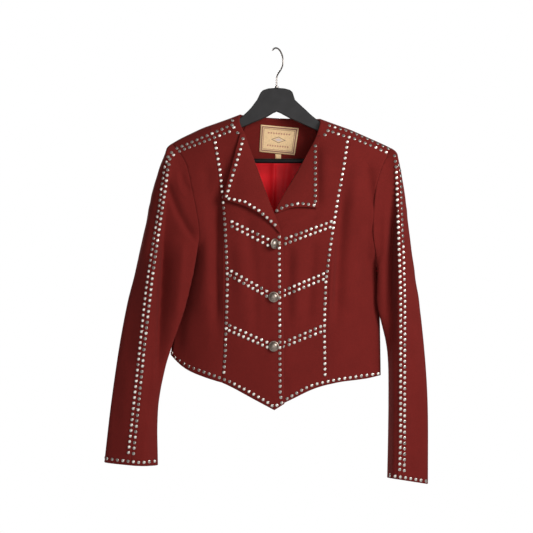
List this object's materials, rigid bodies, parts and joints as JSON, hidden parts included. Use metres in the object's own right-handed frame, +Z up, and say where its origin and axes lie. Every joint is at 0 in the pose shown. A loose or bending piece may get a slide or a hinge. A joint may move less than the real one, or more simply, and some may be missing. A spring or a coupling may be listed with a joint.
{
  "type": "western jacket on a hanger",
  "caption": "Cropped long-sleeved jacket with wide revers, a pointed front hem and stud trim, buttoned and hung on a flat hanger with a trouser bar and wire hook.",
  "frame": {"origin": "inner top of the hook's bend, where the hanger hangs", "axes": "+Z up, front of the jacket towards -Y, +X to the viewer's right seen from the front (the wearer's left)"},
  "size_m": [0.6511, 0.1266, 0.8727],
  "materials": {
    "burgundy_wool": "soft twill",
    "red_satin": "satin lining",
    "cream_ribbon": "woven ribbon",
    "pewter_metal": "antique pewter",
    "charcoal_plastic": "satin black",
    "chromed_wire": "polished"
  },
  "bodies": {
    "root": {"front_centre_right": "burgundy_wool", "front_side_right": "burgundy_wool", "front_centre_left": "burgundy_wool", "front_side_left": "burgundy_wool", "back": "burgundy_wool", "sleeve_right_front": "burgundy_wool", "sleeve_right_back": "burgundy_wool", "sleeve_left_front": "burgundy_wool", "sleeve_left_back": "burgundy_wool", "lapel_right": "burgundy_wool", "lapel_left": "burgundy_wool", "back_neck_facing": "burgundy_wool", "back_lining": "red_satin", "neck_label": "cream_ribbon", "size_tab": "cream_ribbon", "button_1": "pewter_metal", "button_2": "pewter_metal", "button_3": "pewter_metal", "hanger_body": "charcoal_plastic", "hanger_bar": "charcoal_plastic", "hanger_hook": "chromed_wire"}
  },
  "joints": []
}
